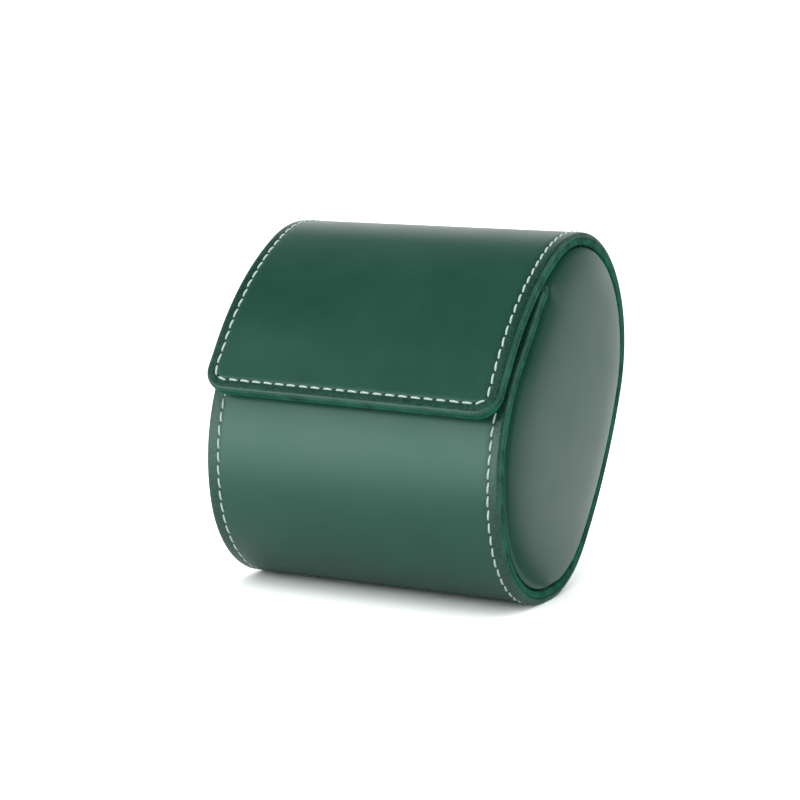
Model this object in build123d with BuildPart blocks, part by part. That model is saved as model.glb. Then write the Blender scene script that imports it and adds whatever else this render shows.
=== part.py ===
from build123d import *
import math
import os

# Single watch roll: a leather strip wraps two padded end caps, comes over the top as a flap
# and lies on the front wall. A loose pillow inside carries the watch.
# +X runs along the roll, +Y to the back, +Z up; the flap's free edge is at the front.

# The roll along X
roll_width = 80.0

# Outer outline of the roll, seen from its right end, as tangent arcs
front_foot_radius = 29.8
front_foot_angle = 73.4
front_wall_radius = 42.8
front_wall_angle = 56.6
front_wall_straight = 22.0
back_foot_radius = 17.0
back_foot_angle = 45.0
back_radius = 118.0
back_angle = 24.5
top_radius = 32.1
top_case_angle = 35.5
top_flap_angle = 102.3
flap_radius = 71.4
flap_angle = 29.2
flap_straight = 14.0
flap_corner_radius = 7.0

# Layers of the wall and of the flap, from the outside in
leather = 1.4
board = 0.8
lining = 1.0
board_inset = 6.0
board_corner_radius = 3.0
hinge_inset = 4.0

# Gaps between pieces that move past each other
hinge_gap = 0.3
mouth_gap = 0.35
pillow_clearance = 0.4
pillow_side_gap = 1.4

# Padded end caps
cap_recess = 1.0
cap_crown = 1.6
cap_rim_radius = 0.9
cap_step = 2.8
cap_step_radius = 1.3
cap_gap = 0.35
cap_leather = 0.9
cap_padding = 1.6
cap_board = 1.6
cap_lining = 0.8

# Magnet in the flap and steel disc in the front wall
disc_diameter = 8.0
disc_from_edge = 12.0

# Pillow: an oval tube that leans back as the roll does, a little barrelled
pillow_foot_height = 26.6
pillow_straight = 16.0
pillow_lean = 20.0
pillow_cover_thickness = 1.2
pillow_end_thickness = 1.6
pillow_end_rounding = 1.0
pillow_draw = 1.5

wall = leather + board + lining
half_width = roll_width / 2
cap_rim = half_width - cap_recess
cap_inside = cap_rim - cap_leather - cap_padding - cap_board - cap_lining
gap_angle = math.degrees(hinge_gap / top_radius)
hinge_inset_angle = math.degrees(hinge_inset / top_radius)


def back_line(depth, fold_cut=0.0, mode=Mode.ADD):
    """Back half of the case outline, from the base to the flap's fold, fold_cut degrees short."""
    foot = JernArc((0, depth), (1, 0), back_foot_radius - depth, back_foot_angle, mode=mode)
    back = JernArc(foot @ 1, foot % 1, back_radius - depth, back_angle, mode=mode)
    return JernArc(back @ 1, back % 1, top_radius - depth, top_case_angle - fold_cut, mode=mode)


def flap_line(depth, fold_cut=gap_angle, edge_cut=0.0, mode=Mode.ADD):
    """Flap outline from the fold over the top. Returns its first point and its straight end."""
    fold = back_line(depth, mode=Mode.PRIVATE)
    start = JernArc(fold @ 1, fold % 1, top_radius - depth, fold_cut, mode=Mode.PRIVATE)
    top = JernArc(start @ 1, start % 1, top_radius - depth, top_flap_angle - fold_cut, mode=mode)
    front = JernArc(top @ 1, top % 1, flap_radius - depth, flap_angle, mode=mode)
    end = front @ 1 + (front % 1) * (flap_straight - edge_cut)
    return start @ 1, Line(front @ 1, end, mode=mode)


def front_wall_line(foot_y, depth, mouth_cut=0.0, mode=Mode.ADD):
    """Front half of the case outline, from the base to the mouth, depth mm inside the leather."""
    foot = JernArc((foot_y, depth), (-1, 0), front_foot_radius - depth, -front_foot_angle, mode=mode)
    rise = JernArc(foot @ 1, foot % 1, front_wall_radius - depth, -front_wall_angle, mode=mode)
    mouth = rise @ 1 + (rise % 1) * (front_wall_straight - mouth_cut)
    return Line(rise @ 1, mouth, mode=mode)


# The base's flat is as deep as it takes for the mouth to clear the inside of the flap
flap_end = flap_line(0, mode=Mode.PRIVATE)[1]
flap_centre = flap_end @ 0 + (flap_end % 1).rotate(Axis.Z, 90) * flap_radius
mouth = front_wall_line(0, 0, mode=Mode.PRIVATE) @ 1
mouth_reach = flap_radius - wall - mouth_gap
front_foot_y = flap_centre.X - mouth.X - math.sqrt(mouth_reach**2 - (mouth.Y - flap_centre.Y) ** 2)


def front_line(depth, mouth_cut=0.0):
    """The front half in its place, in front of the base's flat."""
    return front_wall_line(front_foot_y, depth, mouth_cut)


# The caps follow the inside of the flap to a little above the mouth
mouth_ray = mouth + (front_foot_y, 0) - flap_centre
cap_step_angle = flap_angle - mouth_ray.get_angle(flap_end @ 0 - flap_centre)
cap_step_angle -= math.degrees(cap_step / flap_radius)

# The origin sits under the middle of the closed roll
with BuildLine() as outer_outline:
    front_line(0)
    back_line(0)
    flap_line(0)
outline_box = outer_outline.line.bounding_box()
middle = (outline_box.min.X + outline_box.max.X) / 2
section = Plane(origin=(0, -middle, 0), x_dir=(0, 1, 0), z_dir=(1, 0, 0))


def case_band(outer, inner, mouth_cut=0.0, fold_cut=0.0):
    """Section of the case wall between two depths."""
    with BuildSketch(section) as band:
        with BuildLine():
            mouth_outer = front_line(outer, mouth_cut)
            mouth_inner = front_line(inner, mouth_cut)
            fold_outer = back_line(outer, fold_cut)
            fold_inner = back_line(inner, fold_cut)
            Line((front_foot_y, outer), (0, outer))
            Line((front_foot_y, inner), (0, inner))
            Line(mouth_outer @ 1, mouth_inner @ 1)
            Line(fold_outer @ 1, fold_inner @ 1)
        make_face()
    return band.sketch


def flap_band(outer, inner, fold_cut=gap_angle, edge_cut=0.0):
    """Section of the flap between two depths."""
    with BuildSketch(section) as band:
        with BuildLine():
            fold_outer, edge_outer = flap_line(outer, fold_cut, edge_cut)
            fold_inner, edge_inner = flap_line(inner, fold_cut, edge_cut)
            Line(fold_outer, fold_inner)
            Line(edge_outer @ 1, edge_inner @ 1)
        make_face()
    return band.sketch


def strip(band, length):
    """A band of the section, run along X about the middle of the roll."""
    with BuildPart() as run:
        extrude(band, amount=length / 2, both=True)
    return run.part


def free_corners(part):
    """The two corner edges at the free end of a flap layer."""
    return part.faces().sort_by(Axis.Z)[0].edges().filter_by(Axis.X, reverse=True)


def name_piece(piece, label):
    """Give a finished piece its name and write its STEP file."""
    piece.part.label = label
    export_step(piece.part, f"parts/{label}.step")


os.makedirs("parts", exist_ok=True)

# One bore through flap and front wall, square to the flap's straight end, for magnet and disc
disc_centre = section.from_local_coords(flap_end @ 1 - (flap_end % 1) * disc_from_edge)
disc_plane = Plane(origin=disc_centre, x_dir=(1, 0, 0), z_dir=(0, -(flap_end % 1).Y, (flap_end % 1).X))
with BuildPart() as disc_bore:
    with BuildSketch(disc_plane):
        Circle(disc_diameter / 2)
    extrude(amount=3 * wall, both=True)

# Case wall: leather, stiff board with a steel disc let in, and suede lining over the board
with BuildPart() as wrap_leather:
    add(strip(case_band(0, leather), roll_width))
name_piece(wrap_leather, "wrap_leather")

wrap_board_band = case_band(leather, leather + board, board_inset, hinge_inset_angle)
wrap_board_blank = strip(wrap_board_band, roll_width - 2 * board_inset)
with BuildPart() as wrap_board:
    add(wrap_board_blank)
    add(disc_bore.part, mode=Mode.SUBTRACT)
name_piece(wrap_board, "wrap_board")

with BuildPart() as wrap_steel_disc:
    add(wrap_board_blank)
    add(disc_bore.part, mode=Mode.INTERSECT)
name_piece(wrap_steel_disc, "wrap_steel_disc")

with BuildPart() as wrap_lining:
    add(strip(case_band(leather, wall), roll_width))
    add(wrap_board_blank, mode=Mode.SUBTRACT)
name_piece(wrap_lining, "wrap_lining")

# Flap: the same layers with rounded corners at the free edge, and a magnet let into its board
with BuildPart() as flap_leather:
    add(strip(flap_band(0, leather), roll_width))
    fillet(free_corners(flap_leather.part), flap_corner_radius)
name_piece(flap_leather, "flap_leather")

flap_board_band = flap_band(leather, leather + board, gap_angle + hinge_inset_angle, board_inset)
with BuildPart() as flap_board_blank:
    add(strip(flap_board_band, roll_width - 2 * board_inset))
    fillet(free_corners(flap_board_blank.part), board_corner_radius)

with BuildPart() as flap_board:
    add(flap_board_blank.part)
    add(disc_bore.part, mode=Mode.SUBTRACT)
name_piece(flap_board, "flap_board")

with BuildPart() as flap_magnet:
    add(flap_board_blank.part)
    add(disc_bore.part, mode=Mode.INTERSECT)
name_piece(flap_magnet, "flap_magnet")

with BuildPart() as flap_lining:
    add(strip(flap_band(leather, wall), roll_width))
    fillet(free_corners(flap_lining.part), flap_corner_radius)
    add(flap_board_blank.part, mode=Mode.SUBTRACT)
name_piece(flap_lining, "flap_lining")


# End caps fill the outline inside the wall and step out past the mouth to meet the flap
def cap_block(depth, x_from, x_to):
    """The cap outline at a depth inside the leather, extruded between two places along X."""
    with BuildPart() as block:
        with BuildSketch(section.offset(x_from)) as face:
            with BuildLine():
                mouth = front_line(depth)
                Line((front_foot_y, depth), (0, depth))
                fold = back_line(depth)
                top = JernArc(fold @ 1, fold % 1, top_radius - depth, top_flap_angle)
                step = JernArc(top @ 1, top % 1, flap_radius - depth, cap_step_angle)
                Line(step @ 1, mouth @ 1)
            make_face()
            fillet(face.vertices().sort_by_distance(mouth @ 1)[0], cap_step_radius)
            fillet(face.vertices().sort_by_distance(step @ 1)[0], cap_step_radius)
        extrude(amount=x_to - x_from)
    return block.part


cap_depth = wall + cap_gap
cap_peak = cap_rim + cap_crown
lining_face = cap_inside + cap_lining
board_face = lining_face + cap_board
cap_box = cap_block(cap_depth, cap_inside, cap_peak).bounding_box()
crown_centre_y = (cap_box.min.Y + cap_box.max.Y) / 2
crown_centre_z = (cap_box.min.Z + cap_box.max.Z) / 2
crown_reach = (cap_box.max.Z - cap_box.min.Z) / 2
crown_radius = (crown_reach**2 + cap_crown**2) / (2 * cap_crown)


def crowned_block(depth, x_from, skin, rim_radius):
    """A cap block under a shallow dome that lies skin mm inside the cap's outer face."""
    with BuildPart() as dome:
        add(cap_block(depth + skin, x_from, cap_peak))
        with Locations((cap_peak - crown_radius, crown_centre_y, crown_centre_z)):
            Sphere(crown_radius - skin, mode=Mode.INTERSECT)
        if rim_radius:
            fillet(dome.faces().filter_by(GeomType.SPHERE).edges(), rim_radius)
    return dome.part


cap_filling = crowned_block(cap_depth, lining_face, cap_leather, 0)
with BuildPart() as right_cap_leather:
    add(crowned_block(cap_depth, lining_face, 0, cap_rim_radius))
    add(cap_filling, mode=Mode.SUBTRACT)

with BuildPart() as right_cap_board:
    add(cap_block(cap_depth + cap_leather, lining_face, board_face))

with BuildPart() as right_cap_padding:
    add(cap_filling)
    add(right_cap_board.part, mode=Mode.SUBTRACT)

with BuildPart() as right_cap_lining:
    add(cap_block(cap_depth, cap_inside, lining_face))

right_cap_pieces = {
    "cap_leather": right_cap_leather,
    "cap_padding": right_cap_padding,
    "cap_board": right_cap_board,
    "cap_lining": right_cap_lining,
}
for name, right_piece in right_cap_pieces.items():
    with BuildPart() as left_piece:
        mirror(right_piece.part, about=Plane.YZ)
    name_piece(right_piece, f"right_{name}")
    name_piece(left_piece, f"left_{name}")

# Pillow: an oval tube of suede over foam, drawn in towards two end discs. It is as thick as the
# inside of the case lets it be round a centre line that leans with the walls.
lean = math.radians(pillow_lean)
foot_centre = Vector(front_foot_y / 2, pillow_foot_height)
head_centre = foot_centre + Vector(math.sin(lean), math.cos(lean)) * pillow_straight
with BuildLine() as inside_outline:
    front_line(wall)
    Line((front_foot_y, wall), (0, wall))
    back_line(wall)
centre_line = Line(foot_centre, head_centre, mode=Mode.PRIVATE)
pillow_radius = inside_outline.line.distance_to(centre_line) - pillow_clearance
pillow_width = 2 * pillow_radius
pillow_height = pillow_width + pillow_straight
pillow_foot = section.from_local_coords(foot_centre)
pillow_plane = Plane(origin=pillow_foot, x_dir=(0, math.sin(lean), math.cos(lean)), z_dir=(1, 0, 0))
pillow_half = cap_inside - pillow_side_gap
cover_half = pillow_half - pillow_end_thickness


def oval(shrink):
    """Pillow section, smaller all round by shrink, on the sketch's own plane."""
    with Locations((pillow_height / 2 - pillow_radius, 0)):
        SlotOverall(pillow_height - 2 * shrink, pillow_width - 2 * shrink)


def barrel(shrink):
    """Oval body of the pillow, fullest at the middle."""
    with BuildPart() as body:
        for share in (-1.0, -0.5, 0.0, 0.5, 1.0):
            with BuildSketch(pillow_plane.offset(share * cover_half)):
                oval(shrink + pillow_draw * share**2)
        loft()
    return body.part


with BuildPart() as pillow_core:
    add(barrel(pillow_cover_thickness))
name_piece(pillow_core, "pillow_core")

with BuildPart() as pillow_cover:
    add(barrel(0))
    add(pillow_core.part, mode=Mode.SUBTRACT)
name_piece(pillow_cover, "pillow_cover")

with BuildPart() as pillow_right_end:
    with BuildSketch(pillow_plane.offset(cover_half)):
        oval(pillow_draw)
    extrude(amount=pillow_end_thickness)
    fillet(pillow_right_end.faces().sort_by(Axis.X)[-1].edges(), pillow_end_rounding)
name_piece(pillow_right_end, "pillow_right_end")

with BuildPart() as pillow_left_end:
    mirror(pillow_right_end.part, about=Plane.YZ)
name_piece(pillow_left_end, "pillow_left_end")
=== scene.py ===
# %% [markdown]
# # Watch roll in green leather
# This lesson dresses a imported CAD model of a single watch roll. The real one is made flat: leather and
# suede are cut, glued and sewn on a bench, and only then rolled round two padded end caps. The script
# goes the same way. The imported model stays as it is.
# %% Load the imported model
import math
import random

import bmesh
import bpy
from mathutils import Matrix, Vector, kdtree, noise


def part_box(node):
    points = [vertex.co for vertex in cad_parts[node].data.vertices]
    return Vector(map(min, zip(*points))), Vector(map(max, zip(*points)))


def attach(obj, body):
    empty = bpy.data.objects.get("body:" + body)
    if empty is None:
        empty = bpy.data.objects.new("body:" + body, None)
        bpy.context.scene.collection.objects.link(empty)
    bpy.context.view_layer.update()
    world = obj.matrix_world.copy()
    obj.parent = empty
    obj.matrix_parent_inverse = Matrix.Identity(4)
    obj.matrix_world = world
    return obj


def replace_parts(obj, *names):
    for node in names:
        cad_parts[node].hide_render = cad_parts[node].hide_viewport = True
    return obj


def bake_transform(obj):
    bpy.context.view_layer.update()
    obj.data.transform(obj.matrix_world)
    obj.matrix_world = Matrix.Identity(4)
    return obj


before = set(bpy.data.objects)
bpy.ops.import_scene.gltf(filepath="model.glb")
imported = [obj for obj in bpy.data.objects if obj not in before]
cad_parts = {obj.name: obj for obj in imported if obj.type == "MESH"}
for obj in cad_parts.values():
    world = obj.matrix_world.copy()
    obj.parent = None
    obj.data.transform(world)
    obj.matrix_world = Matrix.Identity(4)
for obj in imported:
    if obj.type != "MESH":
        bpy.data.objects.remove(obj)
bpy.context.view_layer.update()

mm = 0.001
chance = random.Random(7)

# %% [markdown]
# ## The camera
# The photograph looks at the roll from its right front, a little above the table, with a long lens. The
# camera is turned by hand from those angles, because its slight roll about its own axis matters too.
# %% Camera
view_azimuth = math.radians(27.1)
view_elevation = math.radians(8.06)
camera_roll = math.radians(0.70)
camera_place = Vector((249.9 * mm, -499.1 * mm, 126.0 * mm))

sin_a, cos_a = math.sin(view_azimuth), math.cos(view_azimuth)
sin_e, cos_e = math.sin(view_elevation), math.cos(view_elevation)
level_right = Vector((cos_a, sin_a, 0))
level_up = Vector((-sin_a * sin_e, cos_a * sin_e, cos_e))
backward = Vector((sin_a * cos_e, -cos_a * cos_e, sin_e))
camera_right = level_right * math.cos(camera_roll) + level_up * math.sin(camera_roll)
camera_up = level_up * math.cos(camera_roll) - level_right * math.sin(camera_roll)

camera_data = bpy.data.cameras.new("camera")
camera_data.lens = 99.4
camera_data.sensor_width = 36.0
camera_data.shift_y = -0.0025
camera_data.clip_start, camera_data.clip_end = 0.05, 10.0
camera = bpy.data.objects.new("camera", camera_data)
turn = Matrix((camera_right, camera_up, backward)).transposed().to_4x4()
camera.matrix_world = Matrix.Translation(camera_place) @ turn
bpy.context.scene.collection.objects.link(camera)
bpy.context.scene.camera = camera
print("camera at", tuple(round(c, 3) for c in camera.location))

# %% [markdown]
# ## The line the leather follows
# Seen from its right end, the roll is an egg of tangent arcs, open at the mouth. The strip starts at the
# mouth, goes down the front, along the base, up the back, and over the top as the flap. Each bend has a
# radius and an angle, each straight run a length, so one short table holds the whole line.
# %% The strip's line
roll_width = 80.0 * mm
leather_thickness = 1.4 * mm
wall_thickness = 3.2 * mm
fold_bend = 35.5
strip_line = [
    ("run", 22.0 * mm),
    ("bend", 42.8 * mm, 56.6),
    ("bend", 29.8 * mm, 73.4),
    ("run", 7.2065 * mm),
    ("bend", 17.0 * mm, 45.0),
    ("bend", 118.0 * mm, 24.5),
    ("bend", 32.1 * mm, fold_bend),
    ("bend", 32.1 * mm, 102.3),
    ("bend", 71.4 * mm, 29.2),
    ("run", 14.0 * mm),
]
mouth_heading = math.radians(230.0)


def lay_line(line, place, heading):
    """Give every part of a line its start: (length so far, place, heading, radius or None, length)."""
    parts, length = [], 0.0
    for kind, size, *bend in line:
        along = size * math.radians(bend[0]) if bend else size
        parts.append((length, place.copy(), heading, size if bend else None, along))
        place, heading = follow(parts[-1], along)
        length += along
    return parts, length


def follow(part, along):
    """Place and heading at a distance along one part of a line."""
    _, place, heading, radius, _ = part
    if radius is None:
        return place + Vector((math.cos(heading), math.sin(heading))) * along, heading
    centre = place + Vector((-math.sin(heading), math.cos(heading))) * radius
    turned = heading + along / radius
    return centre + Vector((math.sin(turned), -math.cos(turned))) * radius, turned


def on_strip(length):
    """Place and heading on the strip's outer face at a length from the mouth."""
    part = next((p for p in reversed(strip_parts) if p[0] <= length), strip_parts[0])
    return follow(part, length - part[0])


strip_parts, strip_length = lay_line(strip_line, Vector((0, 0)), mouth_heading)
wrap_low, wrap_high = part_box("wrap_leather")
outline = [on_strip(strip_length * i / 6000)[0] for i in range(6001)]
shift = Vector((wrap_high.y - max(p.x for p in outline), wrap_low.z - min(p.y for p in outline)))
strip_parts, strip_length = lay_line(strip_line, shift, mouth_heading)
base_middle = strip_parts[3][0] + strip_parts[3][4] / 2
base_end = strip_parts[4][0]
fold_length = strip_parts[7][0]
print("strip", round(strip_length / mm, 1), "mm long, fold at", round(fold_length / mm, 1))
print("fold at", tuple(round(c / mm, 2) for c in on_strip(fold_length)[0]))

# %% [markdown]
# ## The seam
# One row of machine stitches runs all round the strip, 2.8 mm in from its edge and round the flap's two
# corners. A place on the seam is one number, its length from where the right-hand row would meet the
# mouth's edge. Stitches are about 3.3 mm long, but a hand-fed machine never keeps one length, so short
# tables say how many stitches lie between some marks on the seam.
# %% The seam's line
half_width = roll_width / 2
flap_corner = 6.0 * mm
stitch_inset = 2.8 * mm
row_x = half_width - stitch_inset
corner_x, corner_y = half_width - flap_corner, strip_length - flap_corner
row_radius = flap_corner - stitch_inset
row_turn = row_radius * math.pi / 2
row_to_middle = corner_y + row_turn + corner_x
mouth_row_start = stitch_inset - row_x
seam_end = 2 * row_to_middle - mouth_row_start
under_base = 2 * row_to_middle - base_middle
stitch_pitch = 3.3 * mm
front_counts = [(mouth_row_start, -23.17), (base_middle, 19.27), (under_base, 179.6), (seam_end, 221.7)]
flap_counts = [(base_middle, -42), (244.1 * mm, 0), (265.4 * mm, 7), (291.5 * mm, 15),
               (row_to_middle + 15 * mm, 32), (row_to_middle + 41.3 * mm, 40), (under_base, 97)]


def between(value, pairs, known=0, wanted=1):
    """Read a table of pairs at a value, straight between its rows."""
    for low, high in zip(pairs, pairs[1:]):
        if value <= high[known]:
            break
    share = (value - low[known]) / (high[known] - low[known])
    return low[wanted] + share * (high[wanted] - low[wanted])


print("stitches round the back and flap", flap_counts[-1][1] - flap_counts[0][1])


def on_seam(along):
    """Flat place and direction on the seam at a length along it."""
    if along > row_to_middle:
        place, direction = on_seam(2 * row_to_middle - along)
        return Vector((-place.x, place.y)), Vector((direction.x, -direction.y))
    if along < stitch_inset:
        return Vector((along - mouth_row_start, stitch_inset)), Vector((1, 0))
    if along < corner_y:
        return Vector((row_x, along)), Vector((0, 1))
    angle = (along - corner_y) / row_radius
    if along < corner_y + row_turn:
        place = Vector((corner_x, corner_y)) + Vector((math.cos(angle), math.sin(angle))) * row_radius
        return place, Vector((-math.sin(angle), math.cos(angle)))
    return Vector((row_to_middle - along, strip_length - stitch_inset)), Vector((-1, 0))


def edge_distance(x, y):
    """How far a flat point lies in from the strip's edge, and how far along the seam it is."""
    side = half_width - abs(x)
    if abs(x) > corner_x and y > corner_y:
        out = Vector((abs(x) - corner_x, y - corner_y))
        inward, along = flap_corner - out.length, corner_y + row_radius * math.atan2(out.y, out.x)
    elif y > corner_y and strip_length - y < side:
        inward, along = strip_length - y, row_to_middle - abs(x)
    elif y < side:
        inward, along = y, abs(x) + mouth_row_start
    else:
        inward, along = side, y
    return inward, 2 * row_to_middle - along if x < 0 else along


# %% [markdown]
# ## Small helpers for the bench
# A sheet is cut flat with X across the roll, Y along the strip and Z up out of the leather. `roll_up`
# bends it: each point keeps its distance along the line and its height above the leather's face, as
# when a real strip is wrapped round a form.
# %% Bench helpers
def ease(value, start, end):
    """A smooth step from 0 at start to 1 at end."""
    share = min(1.0, max(0.0, (value - start) / (end - start)))
    return share * share * (3 - 2 * share)


flap_aside, flap_twist = 0.35 * mm, 0.0145
left_row_in = 0.6 * mm
foot_draw = 1.05 * mm


def settle(x, y):
    """Where a flat point really lies: the flap sits a little askew, and the left front row runs further in."""
    over = ease(y, fold_length, strip_length)
    inward = half_width - abs(x)
    drawn_in = left_row_in * ease(inward, 0, stitch_inset) * (1 - ease(inward, 3.6 * mm, 12 * mm))
    if x > 0 or y > base_middle:
        drawn_in = 0.0
    return x - flap_aside * over + drawn_in, y + flap_twist * x * over


def stand_off(y):
    """How far the wall stands out from its line: it draws in where the base turns up into the back."""
    behind = y - base_end
    return -foot_draw * ease(behind, -5 * mm, 6.5 * mm) * (1 - ease(behind, 7.5 * mm, 19 * mm))


def roll_up(bm):
    """Bend a flat piece round the strip's line, and keep it off the table."""
    for v in bm.verts:
        x, y = settle(v.co.x, v.co.y)
        place, heading = on_strip(y)
        place = place + Vector((math.sin(heading), -math.cos(heading))) * (v.co.z + stand_off(y))
        v.co = Vector((x, place.x, max(place.y, 0.0)))


def finish_piece(bm, name, materials, smooth=True):
    """Turn a bmesh into a named piece of the roll."""
    mesh = bpy.data.meshes.new(name)
    bm.to_mesh(mesh)
    bm.free()
    for material in materials:
        mesh.materials.append(material)
    mesh.polygons.foreach_set("use_smooth", [smooth] * len(mesh.polygons))
    piece = bpy.data.objects.new(name, mesh)
    bpy.context.scene.collection.objects.link(piece)
    print(name, "faces", len(mesh.polygons))
    return piece


def rounded(bm, edges, radius, segments):
    """Round some edges of a piece."""
    bmesh.ops.bevel(bm, geom=edges, offset=radius, segments=segments, profile=0.5,
                    affect="EDGES", material=-1, clamp_overlap=True)


def cut_across(bm, at, normal, clear=False):
    """Cut a piece with a plane, and drop what lies on the plane's far side if asked."""
    geom = bm.verts[:] + bm.edges[:] + bm.faces[:]
    return bmesh.ops.bisect_plane(bm, geom=geom, dist=1e-7, plane_co=at, plane_no=normal,
                                  clear_outer=clear, clear_inner=False)


def points_of(made):
    """The points that an operator made."""
    return [g for g in made["geom"] if isinstance(g, bmesh.types.BMVert)]


def open_edges(bm):
    """The edges round a hole or a loose rim."""
    return [e for e in bm.edges if e.is_boundary]


def widest_face(bm):
    """The largest face, which is the one in the middle of a piece's rings."""
    return max(bm.faces, key=lambda face: face.calc_area())


def set_rings(bm, rings):
    """Set rings in from the rim of the widest face, at distances from that rim, and return it."""
    set_in = 0.0
    for ring in rings:
        middle = widest_face(bm)
        bmesh.ops.inset_region(bm, faces=[middle], thickness=ring - set_in, use_even_offset=True,
                               use_boundary=True)
        set_in = ring
    return middle


def to_end(bm, side):
    """Turn a piece made for the right end (side 1) into one for either end, its faces outward."""
    if side < 0:
        bmesh.ops.scale(bm, verts=bm.verts, vec=(-1, 1, 1))
    bmesh.ops.recalc_face_normals(bm, faces=bm.faces)


# %% [markdown]
# ## Colours and surfaces
# Three things cover the roll: smooth dyed leather with a satin finish, green suede, and a cream thread.
# Leather grain and suede nap are each a node group, so that every material can use them at its own
# strength. Both read Object coordinates, which are in metres, so the grain keeps its real size.
# %% Node helpers
def add_node(tree, kind, **settings):
    """Add a node and set its inputs, by name or number, and its own properties."""
    node = tree.nodes.new(kind)
    numbers = settings.pop("inputs", {})
    for key, value in settings.items():
        setattr(node, key, value)
    for key, value in numbers.items():
        node.inputs[key].default_value = value
    return node


def feed(tree, value, socket):
    """Link a socket to another, or set it to a plain value."""
    if isinstance(value, bpy.types.NodeSocket):
        tree.links.new(value, socket)
    else:
        socket.default_value = value


def mix_colours(tree, factor, first, second):
    """Mix two colours by a factor. A Mix node keeps its colour sockets at numbers 6 and 7."""
    node = add_node(tree, "ShaderNodeMix", data_type="RGBA")
    for socket, value in zip((node.inputs[0], node.inputs[6], node.inputs[7]), (factor, first, second)):
        feed(tree, value, socket)
    return node.outputs[2]


def new_group(name, inputs, outputs):
    """A shader node group with named sockets: {name: (type, default)} in, {name: type} out."""
    group = bpy.data.node_groups.new(name, "ShaderNodeTree")
    for socket, (kind, default) in inputs.items():
        made = group.interface.new_socket(socket, in_out="INPUT", socket_type=f"NodeSocket{kind}")
        if default is not None:
            made.default_value = default
    for socket, kind in outputs.items():
        group.interface.new_socket(socket, in_out="OUTPUT", socket_type=f"NodeSocket{kind}")
    return group, group.nodes.new("NodeGroupInput"), group.nodes.new("NodeGroupOutput")


def noise_node(tree, vector, scale, detail=3.0, roughness=0.5):
    """A noise texture on given coordinates."""
    node = add_node(tree, "ShaderNodeTexNoise", inputs={"Scale": scale, "Detail": detail, "Roughness": roughness})
    tree.links.new(vector, node.inputs["Vector"])
    return node.outputs["Fac"]


def math_node(tree, operation, first, second=None, third=None):
    """A math node on sockets or plain numbers."""
    node = add_node(tree, "ShaderNodeMath", operation=operation)
    for i, value in enumerate((first, second, third)):
        if value is not None:
            feed(tree, value, node.inputs[i])
    return node.outputs[0]


def vector_node(tree, operation, first, second=None):
    """A vector math node; its first output is a vector and its second a number."""
    node = add_node(tree, "ShaderNodeVectorMath", operation=operation)
    feed(tree, first, node.inputs[0])
    if second is not None:
        feed(tree, second, node.inputs[1])
    return node


def range_node(tree, value, low, high, to_low, to_high, smooth=False):
    """Map a value from one range to another, clamped."""
    node = add_node(tree, "ShaderNodeMapRange", interpolation_type="SMOOTHSTEP" if smooth else "LINEAR")
    tree.links.new(value, node.inputs["Value"])
    for name, number in zip(("From Min", "From Max", "To Min", "To Max"), (low, high, to_low, to_high)):
        node.inputs[name].default_value = number
    return node.outputs["Result"]


# %% Leather grain group
leather_grain, grain_in, grain_out = new_group(
    "leather_grain", {"Vector": ("Vector", None), "Fineness": ("Float", 1.0)},
    {"Height": "Float", "Mottle": "Float"})
scaled = add_node(leather_grain, "ShaderNodeVectorMath", operation="SCALE")
leather_grain.links.new(grain_in.outputs["Vector"], scaled.inputs[0])
leather_grain.links.new(grain_in.outputs["Fineness"], scaled.inputs["Scale"])
pebbles = add_node(leather_grain, "ShaderNodeTexVoronoi", feature="SMOOTH_F1",
                   inputs={"Scale": 2600.0, "Smoothness": 0.6})
leather_grain.links.new(scaled.outputs[0], pebbles.inputs["Vector"])
creases = noise_node(leather_grain, scaled.outputs[0], 900.0, 4.0, 0.6)
swell = noise_node(leather_grain, scaled.outputs[0], 45.0, 2.0)
height = math_node(leather_grain, "MULTIPLY", pebbles.outputs["Distance"], 0.25)
height = math_node(leather_grain, "MULTIPLY_ADD", creases, 0.5, height)
height = math_node(leather_grain, "MULTIPLY_ADD", swell, 1.6, height)
leather_grain.links.new(height, grain_out.inputs["Height"])
leather_grain.links.new(noise_node(leather_grain, scaled.outputs[0], 60.0, 4.0, 0.6),
                        grain_out.inputs["Mottle"])
print("group", leather_grain.name, "with", len(leather_grain.nodes), "nodes")

# %% Suede nap group
suede_nap, nap_in, nap_out = new_group(
    "suede_nap", {"Vector": ("Vector", None), "Light": ("Color", (0.02, 0.13, 0.08, 1)),
                  "Dark": ("Color", (0.008, 0.06, 0.035, 1))},
    {"Color": "Color", "Height": "Float"})
fibres = noise_node(suede_nap, nap_in.outputs["Vector"], 2200.0, 4.0, 0.7)
brushed = noise_node(suede_nap, nap_in.outputs["Vector"], 260.0, 3.0, 0.6)
nap = math_node(suede_nap, "MULTIPLY_ADD", fibres, 0.45, math_node(suede_nap, "MULTIPLY", brushed, 0.55))
nap_share = range_node(suede_nap, nap, 0.32, 0.68, 0.0, 1.0, smooth=True)
nap_colour = mix_colours(suede_nap, nap_share, nap_in.outputs["Dark"], nap_in.outputs["Light"])
suede_nap.links.new(nap_colour, nap_out.inputs["Color"])
suede_nap.links.new(fibres, nap_out.inputs["Height"])
print("group", suede_nap.name, "with", len(suede_nap.nodes), "nodes")

# %% [markdown]
# ### Leather
# The face is dyed and waxed, so it is dark, even and satin. The needle left a small hole at each end
# of every stitch. Each hole is dipped in the bump and painted near-black as its shade, and the leather
# round the seam has darker speckles that are partly pits and partly painted shade. The strip's UV map gives
# the distance along the seam and in from the edge, so the holes fall exactly between the stitches that are laid
# later with the same numbers.
# %% Leather material
leather_green = (0.0080, 0.0680, 0.0430, 1)
leather_light = (0.0110, 0.0810, 0.0530, 1)
# Near-black green painted into the needle holes as their shade, and speckled round the seam as shade
painted_hole_shade = (0.003, 0.018, 0.012, 1)


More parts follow.
